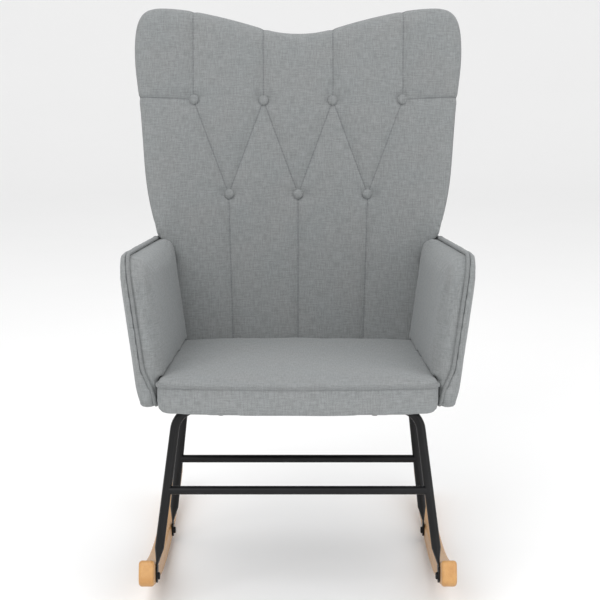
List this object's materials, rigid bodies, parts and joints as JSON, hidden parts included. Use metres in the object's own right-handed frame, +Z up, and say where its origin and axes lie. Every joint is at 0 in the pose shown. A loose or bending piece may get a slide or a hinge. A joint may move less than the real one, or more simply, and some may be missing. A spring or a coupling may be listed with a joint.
{
  "type": "rocking chair",
  "caption": "Upholstered wing-back rocking chair: buttoned curved back, flared padded arms and boxed seat on bent black steel tube legs with stretchers and curved wooden rockers.",
  "frame": {"origin": "on the floor, under the middle of the chair's width and depth", "axes": "+Z up, +X to the right as one looks at the chair from the front, +Y to the back, so a sitter faces -Y"},
  "size_m": [0.5986, 0.697, 0.9611],
  "materials": {
    "rocker_wood": "satin clear-coated pale hardwood with fine straight grain along the rocker",
    "black_steel": "satin black powder coat",
    "zinc_steel": "zinc plated",
    "upholstery": "mid grey woven heather cloth over foam",
    "welt": "piping cord covered in the same grey cloth",
    "plywood": "unfinished plywood, hidden inside the padding",
    "dust_cloth": "thin black non-woven cloth",
    "twine": "waxed upholstery twine"
  },
  "bodies": {
    "root": {"left_rocker": "rocker_wood", "right_rocker": "rocker_wood", "front_leg_frame": "black_steel", "rear_leg_frame": "black_steel", "front_stretcher": "black_steel", "rear_stretcher": "black_steel", "rocker_bolts": "black_steel", "leg_bolts": "black_steel", "rocker_inserts": "zinc_steel", "leg_tee_nuts": "zinc_steel", "arm_bolts": "zinc_steel", "arm_inserts": "zinc_steel", "back_bolts": "zinc_steel", "back_inserts": "zinc_steel", "seat_cushion": "upholstery", "back_cushion": "upholstery", "back_outer_cover": "upholstery", "tufting_buttons": "upholstery", "left_arm_outer_pad": "upholstery", "right_arm_outer_pad": "upholstery", "left_arm_inner_pad": "upholstery", "right_arm_inner_pad": "upholstery", "seat_welt": "welt", "back_welt": "welt", "left_arm_welt": "welt", "right_arm_welt": "welt", "seat_board": "plywood", "back_board": "plywood", "left_arm_board": "plywood", "right_arm_board": "plywood", "dust_cover": "dust_cloth", "button_ties": "twine"}
  },
  "joints": []
}
